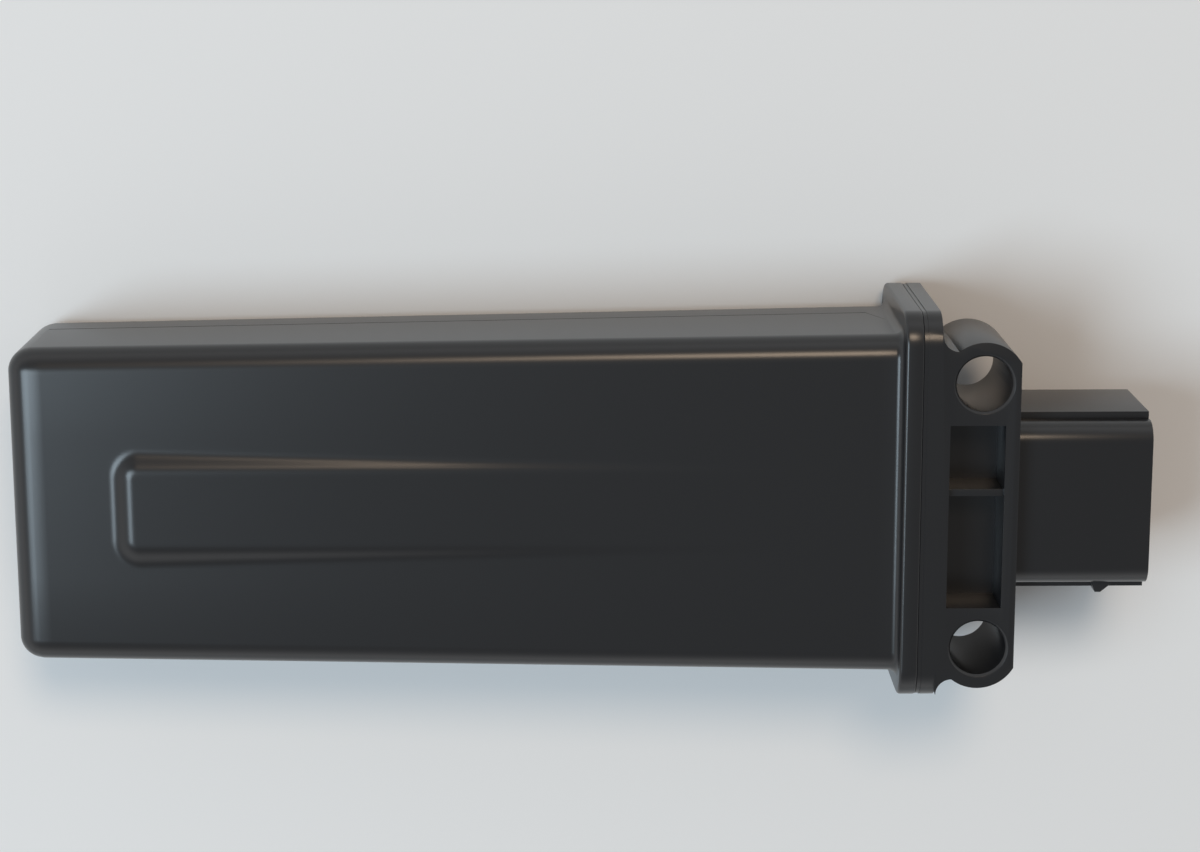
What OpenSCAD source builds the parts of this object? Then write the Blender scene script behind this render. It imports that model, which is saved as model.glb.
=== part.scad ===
// Control unit of a tyre pressure system: a deep moulded pot, closed at one end, with an end
// cap welded on its collar. The cap holds two screw lugs, a pocket between them and the
// connector shroud. X runs from the closed end to the connector, Z is up, the marked face is up.

/* [Pot] */
// Length of the drafted pot, closed end to collar
body_l = 112; // [95:1:130]
// Width of the pot where it meets the collar
body_w = 43.7; // [40:0.1:50]
// Height of the pot where it meets the collar
body_h = 25.7; // [24:0.1:32]
// Draft of the pot on every side, in degrees
draft = 0.85; // [0.3:0.05:1.2]
// Radius of the pot's outer edges
edge_r = 3; // [2.4:0.1:4]
// Wall of the pot
wall = 2; // [1.4:0.1:2.2]
// Radius of the root flare between pot and collar
flare_r = 1; // [0.5:0.1:1.4]

/* [Raised pad] */
// Distance from the closed end to the pad's level top
pad_x = 15; // [8:0.5:25]
// Place along the pot where the pad's level top runs out into the rising face
pad_end_x = 82; // [60:1:90]
// Width of the pad's level top
pad_w = 10.6; // [6:0.1:16]
// Sideways run of the pad's flanks for each millimetre of height
pad_run = 1.8; // [1:0.1:2.5]

/* [Collar and cap flange] */
// How far collar and flange stand out beyond the pot at the sides
collar_side = 3; // [2:0.1:4]
// How far collar and flange stand out above and below the pot
collar_rise = 1.6; // [1:0.1:2.5]
// Thickness of the pot's collar
collar_t = 2.3; // [1.8:0.1:3.5]
// Thickness of the cap's flange
cap_t = 2.3; // [1.8:0.1:3.5]
// Corner radius of collar and flange
flange_r = 4.1; // [2:0.1:5]
// Depth of the cap's spigot inside the pot
spigot_l = 4; // [2:0.5:6]
// Wall of the spigot
spigot_t = 1.5; // [1:0.1:2]
// Clearance round the spigot
spigot_gap = 0.2; // [0.1:0.05:0.3]
// Width of the sealant groove along the seam
seal_t = 0.5; // [0.3:0.1:0.8]
// Depth of the sealant groove from the outline
seal_d = 0.9; // [0.6:0.1:1.2]

/* [Screw lugs and pocket] */
// Distance between the two screw holes
lug_pitch = 34; // [32:0.5:38]
// Offset of the pair of lugs from the centre line
lug_offset = -0.8; // [-1.5:0.1:1.5]
// Diameter of the screw holes
hole_d = 7; // [5.5:0.1:7.4]
// Outer diameter of the lugs
lug_d = 10.5; // [10:0.1:11.5]
// Height of the lugs
lug_h = 17.2; // [14:0.1:18.5]
// Thickness of the lip between flange and pocket
pocket_lip = 1.1; // [0.8:0.1:2]
// Length of the pocket along X
pocket_l = 6.9; // [5:0.1:8]
// Thickness of the pocket's outer wall
outer_wall = 1.8; // [1.2:0.1:2.5]
// Depth of the pocket
pocket_d = 7; // [4:0.5:7.5]
// Thickness of the rib across the pocket
rib_t = 0.9; // [0.7:0.1:1.6]
// Place of the rib, measured from the centre line
rib_y = 2.2; // [0:0.1:4]
// Radius of the notch between flange and lug
notch_r = 2; // [1:0.1:2.4]

/* [Connector shroud] */
// Length of the shroud in front of the lugs
shroud_l = 17.2; // [14:0.1:20]
// Width of the shroud's upper part
shroud_w = 21; // [20:0.1:23]
// How far the lower part stands out on each side
ledge_w = 0.9; // [0.5:0.1:1.2]
// Height of the step below the shroud's top
ledge_drop = 3.5; // [3:0.1:5]
// Drop of the shroud's top below the flange's top
shroud_drop = 2.7; // [1.5:0.1:3]
// Total height of the shroud
shroud_h = 18.9; // [18:0.1:20]
// Radius of the shroud's top edges
shroud_r = 2.5; // [1.5:0.1:3]
// Wall of the shroud
shroud_wall = 1.6; // [1.2:0.1:2]
// Depth of the socket
socket_d = 15.6; // [12:0.1:16]
// Reach of the latch nose beyond the upper part
nose_reach = 1.5; // [1.2:0.1:2]

/* [Contacts] */
// Contacts in each row
contacts_row = 3; // [2:1:3]
// Distance between contacts along a row
contact_pitch = 5; // [4.5:0.1:5.5]
// Distance between the two rows
row_pitch = 5; // [4:0.1:5.5]
// Width of a contact blade
blade_w = 1.6; // [1:0.1:2.2]
// Thickness of a contact blade
blade_t = 0.8; // [0.6:0.1:1]
// Distance from the blades' tips to the shroud's mouth
tip_back = 5.4; // [5:0.1:8]

/* [Circuit board] */
// Width of the board
board_w = 34; // [30:0.5:35]
// Thickness of the board
board_t = 1.6; // [1:0.1:2]
// Height of the board's underside
board_z = 9.4; // [8:0.1:10]
// Distance from the closed end to the board
board_x = 5; // [4:0.5:8]
// Diameter of the aerial's wire
aerial_d = 1; // [0.8:0.1:1.4]
// Height of the aerial's bow above the board
aerial_h = 9; // [6:0.5:10]

/* [Hidden] */
$fn = 64;

// Small overlap that fuses solids of one moulding
fuse = 0.05;

// Outline and inside of the pot
flange_w = body_w + 2 * collar_side;
flange_h = body_h + 2 * collar_rise;
mid_z = flange_h / 2;
seam_x = body_l + collar_t;
cap_back = seam_x + cap_t;
mouth_r = 1.2;
seal_back = 0.1;
mouth_w = body_w - 2 * wall;
mouth_h = body_h - 2 * wall;

// Steps in the rounded corners, the closed end and the root flare
corner_steps = 8;
end_steps = 8;
flare_steps = 4;

// Pad: its top, how deep it is sunk, its run-out inside the top wall, its corners
pad_z = mid_z + half_h(pad_end_x);
pad_foot = 1.5;
pad_tail = 8;
pad_corner = 0.6;
pad_foot_corner = 2;

// Lugs, the webs behind them and the pocket
pocket_x0 = cap_back + pocket_lip;
pocket_x1 = pocket_x0 + pocket_l;
face_x = pocket_x1 + outer_wall;
lug_x = cap_back + lug_d / 2;
lug_z0 = flange_h - lug_h;
lug_web = 4.1;
pocket_z = flange_h - pocket_d;
edge_break = 0.3;
rib_sink = 1;

// Shroud, and the hollow under the block between shroud and flange
shroud_top = flange_h - shroud_drop;
shroud_z0 = shroud_top - shroud_h;
ledge_z = shroud_top - ledge_drop;
lower_w = shroud_w + 2 * ledge_w;
end_x = face_x + shroud_l;
overall_l = end_x;
foot_r = 1.5;
socket_foot_r = 0.6;
core_x0 = pocket_x0 + 1.2;
core_z1 = shroud_z0 + 4.2;
core_w = 16;

// Latch nose, measured back from the shroud's mouth
nose_tip_back = 3.6;
nose_l = 3.2;
nose_crest_l = 0.7;
nose_ramp_l = 0.6;
nose_z1 = shroud_top - 2.7;
nose_h = 5;

// Contacts: blades in the socket, tails that bend down through the board
row_z = shroud_z0 + shroud_h / 2 - 0.4;
tip_x = end_x - tip_back;
tip_l = 1.4;
socket_x = end_x - socket_d;
tail_x = body_l - 5.5;
tail_step = 4;
tail_reach = 1.4;
board_clear = 0.15;

// Board, which ends short of the spigot's mouth plane, and the rails it slides between
board_end_gap = 0.4;
board_top = board_z + board_t;
board_l = seam_x - spigot_l - board_end_gap - board_x;
guide_h = 1.3;
guide_in = 1.4;
guide_x = wall + mouth_r;
guide_end_x = body_l - 8;

// Parts on the board: length, width and height of each, and the pitch of its leads
chip_stand = 0.15;
lead_t = 0.15;
lead_reach = 1.1;
lead_bend = 0.5;
lead_knee = 0.3;
controller_size = [10, 10, 1.5];
controller_pitch = 0.8;
receiver_size = [9.7, 4.4, 1.1];
receiver_pitch = 0.65;
small_chip_size = [4.9, 3.9, 1.6];
small_chip_pitch = 1.27;
filter_size = [5, 5, 1.4];
crystal_can = [11.2, 3.8, 3.6];
crystal_foot = [12.4, 4.8, 0.6];
regulator_size = [6.6, 6.1, 2.3];
regulator_tab = [5.4, 3.6, 0.5];
regulator_leg = [0.8, 2.2, 0.5];
regulator_knee = [0.8, 0.7, 1.2];
regulator_pitch = 4.56;
diode_size = [6.8, 5.8, 2.1];
diode_clip = [1, 3, 1.3];
can_d = 8;
can_h = 9.6;
can_base = [8.3, 8.3, 1];
can_corner = 1.2;
choke_w = 10;
choke_foot = 0.9;
choke_rim_r = 4.6;
choke_waist_r = 3.4;
choke_drum_z = 1.4;
choke_lid_z = 4.2;
choke_ramp = 0.5;
choke_h = 5.2;
bus_choke_plate = [4.8, 3.8, 0.7];
bus_choke_core = [2.6, 2.4, 2.5];
aerial_bend = 2;
aerial_margin = 3.5;
ceramic_size = [2, 1.2, 1];
ceramic_end = [0.6, 1.3, 1.1];
ceramic_stand = 0.05;
ceramic_pitch = 2.6;

// Half the width and half the height of the pot's outside at a place along it
function half_w(x) = body_w / 2 - (body_l - x) * tan(draft);
function half_h(x) = body_h / 2 - (body_l - x) * tan(draft);

// Rounded rectangle about the origin
module rounded(w, h, r) {
    square([w - 2 * r, h], center = true);
    square([w, h - 2 * r], center = true);
    for (sx = [-1, 1], sy = [-1, 1])
        translate([sx * (w / 2 - r), sy * (h / 2 - r)]) circle(r);
}

// Slab across X, drawn in Y and Z about the pot's middle
module across(x, t) {
    translate([x, 0, mid_z]) rotate([90, 0, 90]) linear_extrude(t) children();
}

// Ring of points across X: a rounded rectangle about the pot's middle
function ring(x, w, h, r) = [
    for (q = [0:3], i = [0:corner_steps])
        let (a = 90 * (q + i / corner_steps), sy = (q == 0 || q == 3) ? 1 : -1, sz = q < 2 ? 1 : -1)
        [x, sy * (w / 2 - r) + r * cos(a), mid_z + sz * (h / 2 - r) + r * sin(a)]];

// Rings of the pot from its closed end to a place along it; its edges round off at the closed end
function pot_rings(x0, x1, inset, r) = concat(
    [for (k = [1:end_steps])
        let (a = 90 * k / end_steps, c = r * sin(a), x = x0 + r * (cos(90 / end_steps) - cos(a)))
        ring(x, 2 * (half_w(x0) - inset - r + c), 2 * (half_h(x0) - inset - r + c), c)],
    [ring(x1, 2 * (half_w(x1) - inset), 2 * (half_h(x1) - inset), r)]);

// Rings of the concave root flare that leads from the pot into its collar
function flare_rings() = [
    for (k = [1:flare_steps])
        let (a = 90 * k / flare_steps, g = flare_r * (1 - cos(a)), x = body_l - flare_r * (1 - sin(a)))
        ring(x, 2 * (half_w(x) + g), 2 * (half_h(x) + g), edge_r + g)];

// Closed skin through a list of rings
module loft(rings) {
    n = len(rings[0]);
    last = len(rings) - 1;
    polyhedron(
        points = [for (loop = rings, p = loop) p],
        faces = concat(
            [[for (i = [0:n - 1]) i]],
            [[for (i = [n - 1:-1:0]) last * n + i]],
            [for (k = [0:last - 1], i = [0:n - 1], half = [0, 1])
                let (j = (i + 1) % n)
                half == 0 ? [k * n + i, (k + 1) * n + j, k * n + j]
                          : [k * n + i, (k + 1) * n + i, (k + 1) * n + j]]));
}

// Level-topped pad with sloped flanks, sunk into the top wall
module pad() {
    l = pad_end_x + pad_tail - pad_x;
    grow = pad_run * pad_foot;
    hull() {
        translate([pad_x + l / 2, 0, pad_z - fuse])
            linear_extrude(fuse) rounded(l, pad_w, pad_corner, $fn = 32);
        translate([pad_x + l / 2, 0, pad_z - pad_foot])
            linear_extrude(fuse) rounded(l + 2 * grow, pad_w + 2 * grow, pad_foot_corner, $fn = 32);
    }
}

// Pair of rails along one side wall; the board slides between them
module guides() {
    for (sy = [-1, 1], z = [board_z - guide_h, board_top + board_clear])
        translate([0, 0, z]) linear_extrude(guide_h) polygon([
            [guide_x, sy * (board_w / 2 - guide_in)],
            [guide_end_x, sy * (board_w / 2 - guide_in)],
            [guide_end_x, sy * (half_w(guide_end_x) - wall / 2)],
            [guide_x, sy * (half_w(guide_x) - wall / 2)]]);
}

module housing() color([0.13, 0.14, 0.15]) {
    difference() {
        union() {
            loft(concat(pot_rings(0, body_l - flare_r, 0, edge_r), flare_rings()));
            pad();
            across(body_l - fuse, collar_t + fuse) rounded(flange_w, flange_h, flange_r);
        }
        loft(pot_rings(wall, body_l - fuse, wall, mouth_r));
        across(body_l - 2 * fuse, collar_t + 3 * fuse) rounded(mouth_w, mouth_h, mouth_r);
    }
    guides();
}

// Plan of the lugs, the webs behind them and the block between them
module lug_plan() {
    difference() {
        union() {
            for (s = [-1, 1]) translate([lug_x, lug_offset + s * lug_pitch / 2]) {
                circle(lug_d / 2);
                for (m = [0, 1]) mirror([0, m]) {
                    translate([cap_back - lug_x - fuse, 0]) square([lug_x - cap_back, lug_web]);
                    translate([cap_back - lug_x, lug_web]) difference() {
                        translate([-fuse, -fuse]) square(notch_r + fuse);
                        translate([notch_r, notch_r]) circle(notch_r);
                    }
                }
            }
            translate([cap_back - fuse, lug_offset - lug_pitch / 2])
                square([face_x - cap_back + fuse, lug_pitch]);
        }
        translate([face_x, -flange_w]) square([lug_d, 2 * flange_w]);
    }
}

// Plan of the pocket, whose ends follow the lugs
module pocket_plan() {
    difference() {
        translate([pocket_x0, lug_offset - lug_pitch / 2]) square([pocket_l, lug_pitch]);
        for (s = [-1, 1]) translate([lug_x, lug_offset + s * lug_pitch / 2]) circle(lug_d / 2);
        for (s = [-1, 1]) translate([pocket_x0 - fuse, lug_offset + s * lug_pitch / 2 - lug_d / 2])
            square([pocket_l + 2 * fuse, lug_d]);
    }
}

// Stepped outline of the shroud, drawn in Y and Z, shrunk by one wall for the socket
module shroud_outline(inset, r_top, r_foot) {
    w1 = shroud_w / 2 - inset;
    w2 = lower_w / 2 - inset;
    z1 = shroud_top - inset;
    z0 = shroud_z0 + inset;
    translate([-w1, ledge_z - inset]) square([2 * w1, z1 - r_top - ledge_z + inset]);
    translate([-w1 + r_top, z1 - 2 * r_top]) square([2 * (w1 - r_top), 2 * r_top]);
    for (s = [-1, 1]) translate([s * (w1 - r_top), z1 - r_top]) circle(r_top);
    translate([-w2, z0 + r_foot]) square([2 * w2, ledge_z - inset - z0 - r_foot]);
    translate([-w2 + r_foot, z0]) square([2 * (w2 - r_foot), 2 * r_foot]);
    for (s = [-1, 1]) translate([s * (w2 - r_foot), z0 + r_foot]) circle(r_foot);
}

// Blade number i, counted along the lower row and then along the upper one
function blade_y(i) = (i % contacts_row - (contacts_row - 1) / 2) * contact_pitch;
function blade_row(i) = floor(i / contacts_row);
function blade_z(i) = row_z + (blade_row(i) - 0.5) * row_pitch;
function blade_tail(i) = tail_x - blade_row(i) * tail_step;

module end_cap() color([0.12, 0.12, 0.13]) {
    difference() {
        union() {
            across(seam_x, cap_t) rounded(flange_w, flange_h, flange_r);
            across(seam_x - spigot_l, spigot_l + fuse)
                rounded(mouth_w - 2 * spigot_gap, mouth_h - 2 * spigot_gap, mouth_r);
            translate([0, 0, lug_z0]) linear_extrude(lug_h) lug_plan();
            translate([cap_back - fuse, -lower_w / 2, shroud_z0])
                cube([face_x - cap_back + fuse, lower_w, pocket_z - shroud_z0 - fuse]);
            translate([face_x - fuse, 0, 0]) rotate([90, 0, 90])
                linear_extrude(shroud_l + fuse) shroud_outline(0, shroud_r, foot_r);
            latch_nose();
        }
        across(seam_x - spigot_l - fuse, spigot_l + fuse)
            rounded(mouth_w - 2 * (spigot_gap + spigot_t), mouth_h - 2 * (spigot_gap + spigot_t), mouth_r);
        across(seam_x - fuse, seal_t + fuse) difference() {
            square([2 * flange_w, 2 * flange_h], center = true);
            rounded(flange_w - 2 * seal_d, flange_h - 2 * seal_d, flange_r - seal_d);
        }
        translate([0, 0, pocket_z]) linear_extrude(pocket_d + fuse) pocket_plan();
        translate([core_x0, -core_w / 2, shroud_z0 - fuse])
            cube([pocket_x1 - core_x0, core_w, core_z1 - shroud_z0 + fuse]);
        translate([socket_x, 0, 0]) rotate([90, 0, 90])
            linear_extrude(socket_d + fuse)
                shroud_outline(shroud_wall, shroud_r - shroud_wall, socket_foot_r);
        lug_holes();
        for (i = [0:2 * contacts_row - 1])
            translate([seam_x - fuse, blade_y(i) - blade_w / 2, blade_z(i) - blade_t / 2])
                cube([socket_x - seam_x + 2 * fuse, blade_w, blade_t]);
    }
    pocket_rib();
}

// Screw holes with a small break at the mouth
module lug_holes() {
    for (s = [-1, 1]) translate([lug_x, lug_offset + s * lug_pitch / 2, 0]) {
        translate([0, 0, lug_z0 - fuse]) cylinder(h = lug_h + 2 * fuse, d = hole_d);
        translate([0, 0, flange_h - edge_break])
            cylinder(h = 2 * edge_break, d1 = hole_d, d2 = hole_d + 4 * edge_break);
    }
}

// Rib across the pocket, a little lower than its rim
module pocket_rib() {
    translate([pocket_x0 - fuse, rib_y - rib_t / 2, pocket_z - fuse])
        cube([pocket_l + 2 * fuse, rib_t, pocket_d - rib_sink + fuse]);
}

// Latch nose on the shroud's -Y side: steep towards the lugs, gentle towards the mouth
module latch_nose() {
    x1 = end_x - nose_tip_back;
    y0 = -shroud_w / 2 + fuse;
    y1 = -shroud_w / 2 - nose_reach;
    translate([0, 0, nose_z1 - nose_h]) linear_extrude(nose_h) polygon([
        [x1 - nose_l, y0], [x1 - nose_l + nose_ramp_l, y1],
        [x1 - nose_l + nose_ramp_l + nose_crest_l, y1], [x1, y0]]);
}

// Bead that fills the seam groove and ends a little below the outline
module sealant_bead() color([0.62, 0.62, 0.6]) {
    across(seam_x, seal_t) difference() {
        rounded(flange_w - 2 * seal_back, flange_h - 2 * seal_back, flange_r - seal_back);
        rounded(flange_w - 2 * seal_d, flange_h - 2 * seal_d, flange_r - seal_d);
    }
}

module circuit_board() color([0.08, 0.3, 0.16]) {
    slot_l = blade_t + 2 * board_clear;
    slot_w = blade_w + 2 * board_clear;
    difference() {
        translate([board_x, -board_w / 2, board_z]) cube([board_l, board_w, board_t]);
        for (i = [0:2 * contacts_row - 1])
            translate([blade_tail(i) - board_clear, blade_y(i) - slot_w / 2, board_z - fuse])
                cube([slot_l, slot_w, board_t + 2 * fuse]);
    }
}

// Contact blade: chamfered tip, straight run through the cap, tail bent down through the board
module contact(i) color([0.78, 0.76, 0.7]) {
    z0 = blade_z(i) - blade_t / 2;
    z1 = z0 + blade_t;
    x0 = blade_tail(i);
    x1 = tip_x - tip_l;
    cut = blade_t / 3;
    tail_z = board_z - tail_reach;
    translate([0, blade_y(i) + blade_w / 2, 0]) rotate([90, 0, 0]) linear_extrude(blade_w) polygon([
        [tip_x, z0 + cut], [tip_x, z1 - cut], [x1, z1], [x0, z1],
        [x0, tail_z], [x0 + blade_t, tail_z], [x0 + blade_t, z0], [x1, z0]]);
}

// Place on the board: shares of the pot's length and of half the board's width
module on_board(along, across_share) {
    translate([along * body_l, across_share * board_w / 2, board_top]) children();
}

// Block that stands on the plane below it, centred about the vertical axis
module block(size, z = 0) {
    translate([-size[0] / 2, -size[1] / 2, z]) cube(size);
}

// Moulded chip with gull-wing leads on two or four sides, standing on the board
module chip(size, leads, pitch, four = false) {
    lead_w = 0.4 * pitch;
    mid = size[2] / 2;
    block([size[0], size[1], size[2] - chip_stand], chip_stand);
    for (q = four ? [0, 90, 180, 270] : [0, 180]) rotate(q)
        for (k = [0:leads - 1])
            translate([(k - (leads - 1) / 2) * pitch + lead_w / 2, size[q % 180 == 0 ? 1 : 0] / 2, 0])
                rotate([0, -90, 0]) linear_extrude(lead_w) polygon([
                    [0, lead_bend], [lead_t, lead_bend], [mid, lead_knee], [mid, -fuse],
                    [mid + lead_t, -fuse], [mid + lead_t, lead_knee + lead_t],
                    [lead_t, lead_bend + lead_t], [lead_t, lead_reach], [0, lead_reach]]);
}

module microcontroller() color([0.1, 0.1, 0.1])
    on_board(0.54, 0.06) chip(controller_size, leads = 11, pitch = controller_pitch, four = true);

module radio_receiver() color([0.1, 0.1, 0.11])
    on_board(0.31, 0.35) chip(receiver_size, leads = 14, pitch = receiver_pitch);

module memory_chip() color([0.11, 0.11, 0.11])
    on_board(0.44, -0.53) chip(small_chip_size, leads = 4, pitch = small_chip_pitch);

module bus_transceiver() color([0.1, 0.1, 0.12])
    on_board(0.8, 0.65) chip(small_chip_size, leads = 4, pitch = small_chip_pitch);

module surface_wave_filter() color([0.75, 0.68, 0.45])
    on_board(0.21, 0.35) block(filter_size);

// Crystal can with rounded ends on its insulating foot
module quartz_crystal() color([0.72, 0.73, 0.75])
    on_board(0.31, -0.35) {
        linear_extrude(crystal_foot[2]) rounded(crystal_foot[0], crystal_foot[1], crystal_foot[1] / 2 - fuse);
        linear_extrude(crystal_can[2]) rounded(crystal_can[0], crystal_can[1], crystal_can[1] / 2 - fuse);
    }

// Regulator with its cooling tab and two bent legs
module voltage_regulator() color([0.14, 0.14, 0.15])
    on_board(0.78, -0.53) {
        block(regulator_size);
        translate([0, regulator_size[1] / 2, 0]) block(regulator_tab);
        for (s = [-1, 1]) translate([s * regulator_pitch / 2, -regulator_size[1] / 2, 0]) {
            translate([0, fuse - regulator_leg[1] / 2, 0]) block(regulator_leg);
            translate([0, fuse - regulator_knee[1] / 2, 0]) block(regulator_knee);
        }
    }

module protection_diode() color([0.12, 0.12, 0.12])
    on_board(0.865, 0) {
        block(diode_size, chip_stand);
        for (s = [-1, 1]) translate([s * (diode_size[0] + chip_stand) / 2, 0, 0]) block(diode_clip);
    }

// Electrolytic can on a square base with two corners cut
module supply_capacitor() color([0.7, 0.71, 0.73])
    on_board(0.67, -0.62) {
        difference() {
            block(can_base);
            for (s = [-1, 1]) translate([can_base[0] / 2, s * can_base[1] / 2, -fuse]) rotate(45)
                block([2 * can_corner, 2 * can_corner, can_base[2] + 2 * fuse]);
        }
        cylinder(h = can_h, d = can_d);
    }

// Drum-wound choke: square foot, waisted drum, flat lid
module power_choke() color([0.2, 0.2, 0.21])
    on_board(0.67, 0.53) {
        block([choke_w, choke_w, choke_foot]);
        rotate_extrude() polygon([
            [0, 0], [choke_rim_r, 0], [choke_rim_r, choke_drum_z], [choke_waist_r, choke_drum_z + choke_ramp],
            [choke_waist_r, choke_lid_z - choke_ramp], [choke_rim_r, choke_lid_z],
            [choke_rim_r, choke_h], [0, choke_h]]);
    }

// Choke of the data line: two plates with a core between them
module bus_choke() color([0.22, 0.18, 0.16])
    on_board(0.9, 0.7) {
        block(bus_choke_plate);
        block(bus_choke_core);
        block(bus_choke_plate, bus_choke_core[2] - fuse);
    }

// Aerial: a wire bow that stands across the board near the closed end
module aerial() color([0.72, 0.45, 0.25]) {
    reach = board_w / 2 - aerial_margin;
    on_board(0.09, 0) {
        for (s = [-1, 1]) {
            translate([0, s * reach, 0]) cylinder(h = aerial_h - aerial_bend, d = aerial_d);
            translate([0, s * (reach - aerial_bend), aerial_h - aerial_bend]) rotate([90, 0, 90])
                rotate(s > 0 ? 0 : 90) rotate_extrude(angle = 90)
                    translate([aerial_bend, 0]) circle(d = aerial_d);
        }
        translate([0, aerial_bend - reach, aerial_h]) rotate([-90, 0, 0])
            cylinder(h = 2 * (reach - aerial_bend), d = aerial_d);
    }
}

// Chip capacitor with its two end pieces, at its place on the board
module chip_capacitor(i) color([0.62, 0.5, 0.38]) {
    spots = [[0.14, -0.35], [0.26, 0], [0.38, 0.65], [0.44, 0.18], [0.62, -0.12], [0.73, 0]];
    on_board(spots[i][0], spots[i][1]) {
        block(ceramic_size, ceramic_stand);
        for (s = [-1, 1]) translate([s * ceramic_pitch / 2, 0, 0]) block(ceramic_end);
    }
}

module placed() translate([-overall_l / 2, 0, 0]) children();

placed() housing();
placed() end_cap();
placed() sealant_bead();
placed() circuit_board();
placed() microcontroller();
placed() radio_receiver();
placed() memory_chip();
placed() bus_transceiver();
placed() surface_wave_filter();
placed() quartz_crystal();
placed() voltage_regulator();
placed() protection_diode();
placed() supply_capacitor();
placed() power_choke();
placed() bus_choke();
placed() aerial();
for (i = [1:6]) placed() chip_capacitor(i - 1);
for (i = [1:2 * contacts_row]) placed() contact(i - 1);
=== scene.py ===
# %% [markdown]
# # A sealed control unit in black plastic
# The object is the control unit of a tyre pressure system: a moulded pot, closed at one end, with an end
# cap welded on its collar. The CAD model gives the solids. This script loads them as a fixed frame and
# adds round moulded edges, the mould's parting line, one black finish, paper and light.

# %% Load the frame
import math

import bmesh
import bpy
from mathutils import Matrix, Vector


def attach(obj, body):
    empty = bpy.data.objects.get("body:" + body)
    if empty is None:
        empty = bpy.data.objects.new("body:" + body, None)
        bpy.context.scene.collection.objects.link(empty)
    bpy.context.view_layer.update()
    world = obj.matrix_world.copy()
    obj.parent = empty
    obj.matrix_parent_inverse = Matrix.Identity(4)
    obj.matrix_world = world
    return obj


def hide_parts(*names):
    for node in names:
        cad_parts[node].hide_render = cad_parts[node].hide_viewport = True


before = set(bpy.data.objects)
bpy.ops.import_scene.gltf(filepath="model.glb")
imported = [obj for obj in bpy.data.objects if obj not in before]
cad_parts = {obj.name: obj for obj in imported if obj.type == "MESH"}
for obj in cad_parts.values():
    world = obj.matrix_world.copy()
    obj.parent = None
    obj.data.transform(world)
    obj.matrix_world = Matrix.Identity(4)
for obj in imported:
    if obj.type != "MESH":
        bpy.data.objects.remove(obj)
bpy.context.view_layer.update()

MM = 0.001

# %% [markdown]
# ## Camera
# The camera was solved from the photograph together with the sizes: a long lens, 0.37 m above the marked
# face, leaning a little towards the far side wall. That is why the far wall shows and the near wall
# doesn't.

# %% Camera
FOCAL_PX, WIDTH_PX, SENSOR = 2781.7, 1200, 36.0
CAMERA_PLACE = (-0.43, 84.34, 365.95)
CAMERA_TURN = (-12.2539, -0.4996, -0.1141)
NEAREST_M = 0.01

scene = bpy.context.scene
camera = bpy.data.objects.new("camera", bpy.data.cameras.new("camera"))
scene.collection.objects.link(camera)
camera.data.sensor_width = SENSOR
camera.data.lens = FOCAL_PX * SENSOR / WIDTH_PX
camera.data.clip_start = NEAREST_M
camera.location = [v * MM for v in CAMERA_PLACE]
camera.rotation_euler = [math.radians(v) for v in CAMERA_TURN]
scene.camera = camera
print("lens in mm:", round(camera.data.lens, 1))

# %% [markdown]
# ## Shader maths as Python
# How bright the room looks is a formula over directions and kinds of ray. One small class wraps a socket
# and lets Python's own operators add the nodes.


# %% A socket that can be added, subtracted and multiplied
class Socket:
    def __init__(self, tree, link):
        self.tree, self.link = tree, link

    def math(self, operation, *others):
        node = self.tree.nodes.new("ShaderNodeMath")
        node.operation = operation
        for socket, value in zip(node.inputs, (self, *others)):
            feed(self.tree, socket, value)
        return Socket(self.tree, node.outputs[0])

    def __add__(self, other): return self.math("ADD", other)
    def __sub__(self, other): return self.math("SUBTRACT", other)
    def __mul__(self, other): return self.math("MULTIPLY", other)
    def __rsub__(self, other): return (self * -1.0) + other
    __radd__, __rmul__ = __add__, __mul__

    def high(self, other): return self.math("MAXIMUM", other)

    def step(self, start, end):
        """0 up to start, 1 from end on, smooth between them."""
        return add_node(self.tree, "ShaderNodeMapRange", {"interpolation_type": "SMOOTHSTEP"},
                        Value=self, From_Min=start, From_Max=end)


def feed(tree, socket, value):
    """Link a Socket, or set a constant on the node's own socket."""
    if isinstance(value, Socket):
        tree.links.new(value.link, socket)
    elif socket.type == "RGBA":
        socket.default_value = (*value, 1.0)
    else:
        socket.default_value = value


def add_node(tree, kind, settings=(), out=0, **inputs):
    """Any node: its settings first, then the values or links of its sockets, by name."""
    node = tree.nodes.new(kind)
    for name, value in dict(settings).items():
        setattr(node, name, value)
    for name, value in inputs.items():
        feed(tree, node.inputs[name.replace("_", " ")], value)
    return Socket(tree, node.outputs[out])


def plain_finish(name, **constants):
    """A Principled material whose constants stand on the shader's own sockets."""
    material = bpy.data.materials.new(name)
    material.use_nodes = True
    shader = material.node_tree.nodes["Principled BSDF"]
    for socket, value in constants.items():
        feed(material.node_tree, shader.inputs[socket.replace("_", " ")], value)
    return material


print("helpers for nodes are ready")

# %% [markdown]
# ## Sizes of the pot
# The script repeats the few sizes that it needs for its own meshes. They are the CAD model's values, in
# millimetres, with x measured from the closed end.

# %% Sizes
LENGTH = 143.6
X0 = -LENGTH / 2
BODY_L, BODY_W, BODY_H, EDGE_R, WALL = 112.0, 43.7, 25.7, 3.0, 2.0
SLOPE = math.tan(math.radians(0.85))
FLARE_R = 1.0
COLLAR_SIDE, COLLAR_RISE, COLLAR_T, FLANGE_R = 3.0, 1.6, 2.3, 4.1
FLANGE_W, FLANGE_H = BODY_W + 2 * COLLAR_SIDE, BODY_H + 2 * COLLAR_RISE
MID_Z = FLANGE_H / 2
SEAM_X = BODY_L + COLLAR_T
MOUTH_R = 1.2
PAD_X, PAD_END, PAD_HALF, PAD_RUN, PAD_CORNER = 15.0, 82.0, 5.3, 1.8, 1.2


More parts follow.
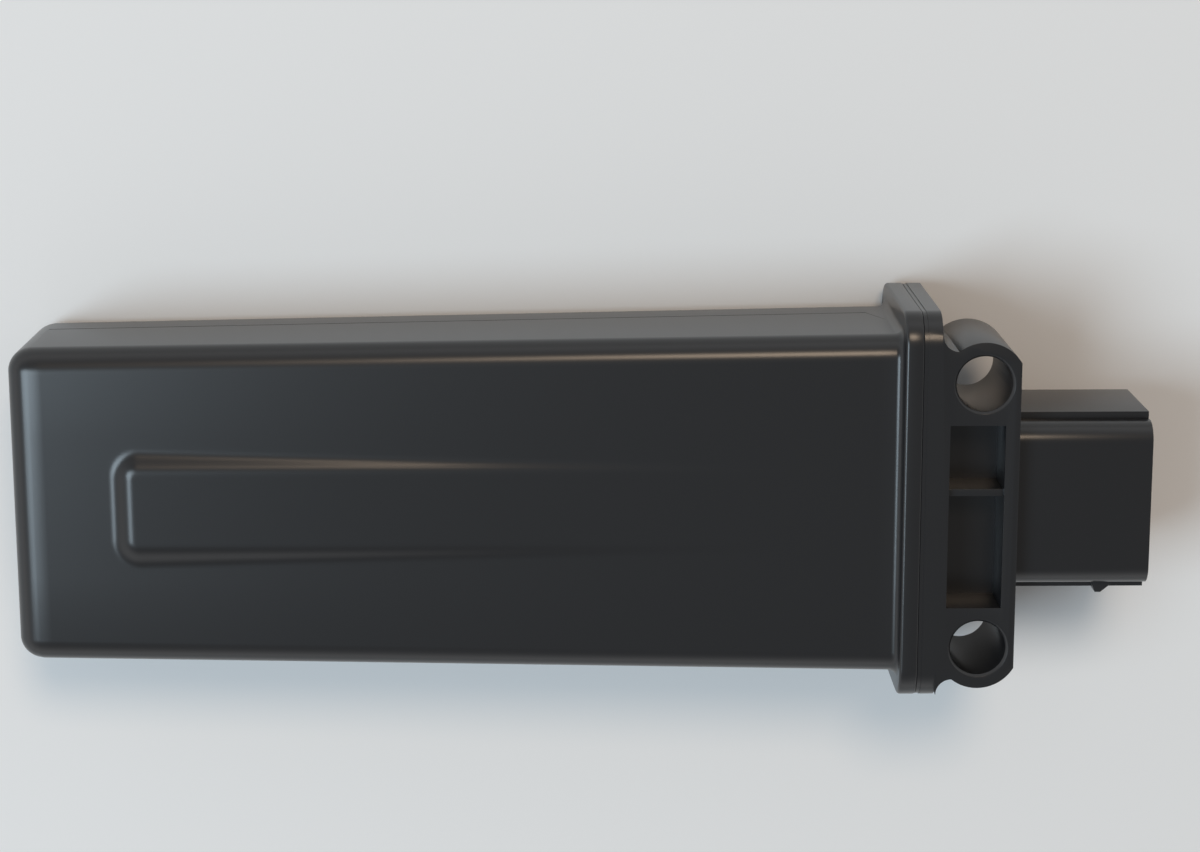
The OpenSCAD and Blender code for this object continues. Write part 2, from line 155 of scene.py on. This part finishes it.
def half_w(x):
    return BODY_W / 2 - (BODY_L - x) * SLOPE


def half_h(x):
    return BODY_H / 2 - (BODY_L - x) * SLOPE


PAD_Z = MID_Z + half_h(PAD_END)
print("pad height at its start in mm:", round(PAD_Z - MID_Z - half_h(PAD_X), 2))

# %% [markdown]
# ## The pot
# The real pot came out of a mould: every wall has draft, every edge is round, and the raised pad melts
# into the rising top face. A loft suits it: rounded rectangles, one behind the other, joined into a skin.
# The pad is a height that is added to the top row of each rectangle, with a soft maximum so its rim and
# foot are round.

# %% Height of the top face with the pad
SOFT_RIM, SOFT_FOOT = 0.35, 0.3


def soft_max(a, b, k):
    h = max(k - abs(a - b), 0.0) / k
    return max(a, b) + h * h * k / 4


def top_with_pad(x, y, plain):
    dx = PAD_X + PAD_CORNER - x
    dy = abs(y) - (PAD_HALF - PAD_CORNER)
    outside = math.hypot(max(dx, 0), max(dy, 0)) + min(max(dx, dy), 0) - PAD_CORNER
    flank = PAD_Z - outside / PAD_RUN
    rim = -soft_max(-PAD_Z, -flank, SOFT_RIM)
    return soft_max(plain, rim, SOFT_FOOT) if rim > plain - SOFT_FOOT else plain


# %% [markdown]
# The fine line that runs round the pot's walls is where two parts of the mould met. It is a shallow
# groove, so it is made in the mesh: five points across the wall in every ring, and the middle three are
# sunk.

# %% Rings of points
CORNER_STEPS = 10
TOP_HALF, TOP_STEP, TOP_COUNT = 9, 0.4, 46
TOP_Y = [-TOP_HALF + TOP_STEP * i for i in range(TOP_COUNT)]
LINE_STEPS, LINE_HALF, LINE_DEPTH = (0.14, 0.05, 0.0, -0.05, -0.14), 0.1, 0.07
LINE_Z, LINE_DROP = 10.6, 1.6


def parting_z(x):
    return LINE_Z - LINE_DROP * x / BODY_L


def ring(x, w, h, r, pad=False, groove=None):
    """Points round a rounded rectangle at x; extra points on the top face and at the parting line."""
    points = []
    flat_w, flat_h = w - r, h - r
    for quarter in range(4):
        sy = 1 if quarter in (0, 3) else -1
        sz = 1 if quarter < 2 else -1
        for i in range(CORNER_STEPS + 1):
            a = math.radians(90 * (quarter + i / CORNER_STEPS))
            points.append((x, sy * flat_w + r * math.cos(a), MID_Z + sz * flat_h + r * math.sin(a)))
        if quarter == 0:
            top = MID_Z + h
            for y in reversed(TOP_Y):
                points.append((x, y, top_with_pad(x, y, top) if pad else top))
        if quarter in (1, 3):
            line, depth = groove or (MID_Z, 0.0)
            side = -1 if quarter == 1 else 1
            for dz in (LINE_STEPS if quarter == 1 else reversed(LINE_STEPS)):
                inward = depth if abs(dz) < LINE_HALF else 0.0
                points.append((x, side * (w - inward), line + dz))
    return points


# %% Helpers for meshes
def soften(mesh, angle):
    """Smooth faces, with edges sharper than the angle kept crisp."""
    bm = bmesh.new()
    bm.from_mesh(mesh)
    bmesh.ops.recalc_face_normals(bm, faces=bm.faces)
    for face in bm.faces:
        face.smooth = True
    for edge in bm.edges:
        edge.smooth = not (len(edge.link_faces) == 2 and edge.calc_face_angle(0) > math.radians(angle))
    bm.to_mesh(mesh)
    bm.free()


def mesh_object(name, points, faces, smooth_angle):
    mesh = bpy.data.meshes.new(name)
    mesh.from_pydata([(a * MM, b * MM, c * MM) for a, b, c in points], [], faces)
    piece = bpy.data.objects.new(name, mesh)
    scene.collection.objects.link(piece)
    soften(mesh, smooth_angle)
    return piece


def arc(n, start=0.0, end=90.0):
    return [math.radians(start + (end - start) * i / n) for i in range(n + 1)]


def spread(start, end, step):
    n = max(1, round((end - start) / step))
    return [start + (end - start) * i / n for i in range(n)]


# %% [markdown]
# The rings run from the closed end to the seam, turn into the mouth and run back inside. They stand close
# together where the pad begins, and far apart where the pot is plain.

# %% The pot's mesh
POINT_R = 0.02
END_STEPS, FLARE_STEPS, RIM_STEPS, SEAM_STEPS, INSIDE_STEPS = 12, 6, 4, 3, 4
COLLAR_RIM, SEAM_RIM = 0.4, 0.25
STRETCHES = ((EDGE_R, 12.4, 1.5), (12.4, 17, 0.25), (17, 78, 0.8), (78, 90, 0.8),
             (90, BODY_L - FLARE_R, 2.0))
INSIDE_X = (BODY_L * 0.66, BODY_L * 0.33, WALL + MOUTH_R)
INSIDE_ARC = (60, 5)
POT_CREASE = 32

rings = []
for a in arc(END_STEPS)[:-1]:
    c = max(EDGE_R * math.sin(a), POINT_R)
    x = EDGE_R * (1 - math.cos(a))
    rings.append(ring(x, half_w(0) - EDGE_R + c, half_h(0) - EDGE_R + c, c))
for x in [x for stretch in STRETCHES for x in spread(*stretch)]:
    rings.append(ring(x, half_w(x), half_h(x), EDGE_R, pad=True, groove=(parting_z(x), LINE_DEPTH)))
for a in arc(FLARE_STEPS):
    x, g = BODY_L - FLARE_R + FLARE_R * math.sin(a), FLARE_R * (1 - math.cos(a))
    rings.append(ring(x, half_w(x) + g, half_h(x) + g, EDGE_R + g))
for a in arc(RIM_STEPS):
    s, c = COLLAR_RIM * (1 - math.sin(a)), COLLAR_RIM * (1 - math.cos(a))
    rings.append(ring(BODY_L + c, FLANGE_W / 2 - s, FLANGE_H / 2 - s, FLANGE_R - s))
for a in arc(SEAM_STEPS):
    s, c = SEAM_RIM * (1 - math.cos(a)), SEAM_RIM * (1 - math.sin(a))
    rings.append(ring(SEAM_X - c, FLANGE_W / 2 - s, FLANGE_H / 2 - s, FLANGE_R - s))
for x in (SEAM_X, BODY_L):
    rings.append(ring(x, BODY_W / 2 - WALL, BODY_H / 2 - WALL, MOUTH_R))
for x in INSIDE_X:
    rings.append(ring(x, half_w(x) - WALL, half_h(x) - WALL, MOUTH_R))
for a in arc(INSIDE_STEPS, *INSIDE_ARC):
    c = MOUTH_R * math.sin(a)
    x = WALL + MOUTH_R * (1 - math.cos(a))
    rings.append(ring(x, half_w(WALL) - WALL - MOUTH_R + c, half_h(WALL) - WALL - MOUTH_R + c, c))

count = len(rings[0])
pot_points = [(x + X0, y, z) for loop in rings for x, y, z in loop]
pot_faces = [tuple(range(count - 1, -1, -1)), tuple((len(rings) - 1) * count + i for i in range(count))]
for k in range(len(rings) - 1):
    for i in range(count):
        j = (i + 1) % count
        pot_faces.append((k * count + i, k * count + j, (k + 1) * count + j, (k + 1) * count + i))
pot = mesh_object("pot_shell", pot_points, pot_faces, POT_CREASE)
print("pot: rings", len(rings), "points in each", count)

# %% [markdown]
# ## The end cap
# The cap's CAD solid has the right shape, but its edges are knife sharp, and a moulding never is. A copy
# of its mesh is merged into whole faces, and a Bevel modifier rounds the outer edges by a quarter of a
# millimetre. The socket's inside and the seam groove keep their edges.

# %% The cap's mesh
MERGE_M, FLAT_ANGLE = 2e-6, 0.4
SHARP_ANGLE, CAP_CREASE = 32, 35
SOCKET_X, SOCKET_HALF, SOCKET_Z0, SOCKET_Z1 = 129, 10, 8, 21
GROOVE_L = 0.6
ROUND_W, ROUND_STEPS = 0.28, 3

cap_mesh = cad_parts["end_cap"].data.copy()
cap_mesh.name = "cap_shell"
cap_mesh.materials.clear()
bm = bmesh.new()
bm.from_mesh(cap_mesh)
bmesh.ops.remove_doubles(bm, verts=bm.verts, dist=MERGE_M)
bmesh.ops.dissolve_limit(bm, angle_limit=math.radians(FLAT_ANGLE), verts=bm.verts, edges=bm.edges)
weight = bm.edges.layers.float.new("bevel_weight_edge")
rounded_edges = 0
for edge in bm.edges:
    if len(edge.link_faces) != 2 or not edge.is_convex:
        continue
    middle = (edge.verts[0].co + edge.verts[1].co) / (2 * MM)
    x, y, z = middle.x - X0, middle.y, middle.z
    in_socket = x < SOCKET_X and abs(y) < SOCKET_HALF and SOCKET_Z0 < z < SOCKET_Z1
    in_groove = x < SEAM_X + GROOVE_L
    if edge.calc_face_angle() > math.radians(SHARP_ANGLE) and not in_socket and not in_groove:
        edge[weight] = 1.0
        rounded_edges += 1
bm.to_mesh(cap_mesh)
bm.free()
cap = bpy.data.objects.new("cap_shell", cap_mesh)
scene.collection.objects.link(cap)
bevel = cap.modifiers.new("round edges", "BEVEL")
bevel.limit_method, bevel.width, bevel.segments = "WEIGHT", ROUND_W * MM, ROUND_STEPS
bevel.use_clamp_overlap = True
bevel.miter_outer = "MITER_ARC"
evaluated = cap.evaluated_get(bpy.context.evaluated_depsgraph_get())
finished = bpy.data.meshes.new_from_object(evaluated)
cap.modifiers.clear()
cap.data = finished
soften(cap.data, CAP_CREASE)
print("cap: rounded edges", rounded_edges, "faces", len(cap.data.polygons))

# %% [markdown]
# ## One finish
# Pot and cap are the same glossy black plastic. The other pieces wear it too: the contacts and the seam
# bead in the open, and the board with its parts inside the sealed pot.

# %% Finish
BLACK, GLOSS_ROUGHNESS = (0.012, 0.0125, 0.014), 0.28

black = plain_finish("black_moulding", Base_Color=BLACK, Roughness=GLOSS_ROUGHNESS)
pot.data.materials.append(black)
cap.data.materials.append(black)
for name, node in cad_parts.items():
    if name not in ("housing", "end_cap"):
        node.data.materials.clear()
        node.data.materials.append(black)

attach(pot, "root"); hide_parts("housing")
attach(cap, "root"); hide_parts("end_cap")

# %% [markdown]
# ## Paper, light and background
# The unit lies on white paper, on its flange and on its closed end, so the paper leans 1.7 degrees
# against it. Cool window light comes from the closed end's side and a warmer lamp stands beyond the far
# wall, which gives the brown and the blue shadow.

# %% Paper
PAPER_M, PAPER_GAP_M = 6.0, 0.00002

lean = math.atan2(MID_Z - half_h(0), BODY_L)
bpy.ops.mesh.primitive_plane_add(size=PAPER_M, location=((X0 + BODY_L) * MM, 0, -PAPER_GAP_M))
paper = bpy.context.object
paper.name = "paper"
paper.rotation_euler = (0, lean, 0)
paper.data.materials.append(plain_finish("paper", Base_Color=(0.8, 0.8, 0.8), Roughness=0.9))
print("paper leans by degrees:", round(math.degrees(lean), 2))


# %% Lamps
def lamp(name, azimuth, elevation, distance, size, power, colour):
    """Area lamp that looks at the object. Azimuth 0 stands at +X, 90 at +Y."""
    a, e = math.radians(azimuth), math.radians(elevation)
    out = Vector((math.cos(a) * math.cos(e), math.sin(a) * math.cos(e), math.sin(e)))
    data = bpy.data.lights.new(name, "AREA")
    data.shape, data.size, data.energy, data.color = "DISK", size, power, colour
    obj = bpy.data.objects.new(name, data)
    scene.collection.objects.link(obj)
    obj.location = out * distance
    obj.rotation_euler = (-out).to_track_quat("-Z", "Y").to_euler()


lamp("window", azimuth=185, elevation=58, distance=1.4, size=0.7, power=11.0, colour=(0.72, 0.88, 1.0))
lamp("warm lamp", azimuth=80, elevation=60, distance=1.4, size=0.4, power=5.2, colour=(1.0, 0.78, 0.58))

# %% [markdown]
# The camera sees a white room. Mirrored rays see a room whose ceiling is darker than its walls, and the
# light that the room throws on the object stays weak.

# %% Background
CEILING_FROM, CEILING_TO, CEILING_DIM = 0.15, 0.85, 0.72
ROOM_LIGHT = 0.3

world = bpy.data.worlds.new("room")
scene.world = world
world.use_nodes = True
tree = world.node_tree
background = tree.nodes["Background"]
rays = tree.nodes.new("ShaderNodeLightPath")
seen = Socket(tree, rays.outputs["Is Camera Ray"]).high(Socket(tree, rays.outputs["Is Transmission Ray"]))
mirrored = Socket(tree, rays.outputs["Is Glossy Ray"])
place = tree.nodes.new("ShaderNodeTexCoord")
split = tree.nodes.new("ShaderNodeSeparateXYZ")
tree.links.new(place.outputs["Generated"], split.inputs[0])
height = Socket(tree, split.outputs[2])
ceiling = height.step(CEILING_FROM, CEILING_TO)
room = 1.0 - ceiling * CEILING_DIM
strength = seen + (1.0 - seen) * (mirrored * room + (1.0 - mirrored) * ROOM_LIGHT)
feed(tree, background.inputs["Strength"], strength)
background.inputs["Color"].default_value = (1, 1, 1, 1)
scene.view_settings.view_transform = "Standard"
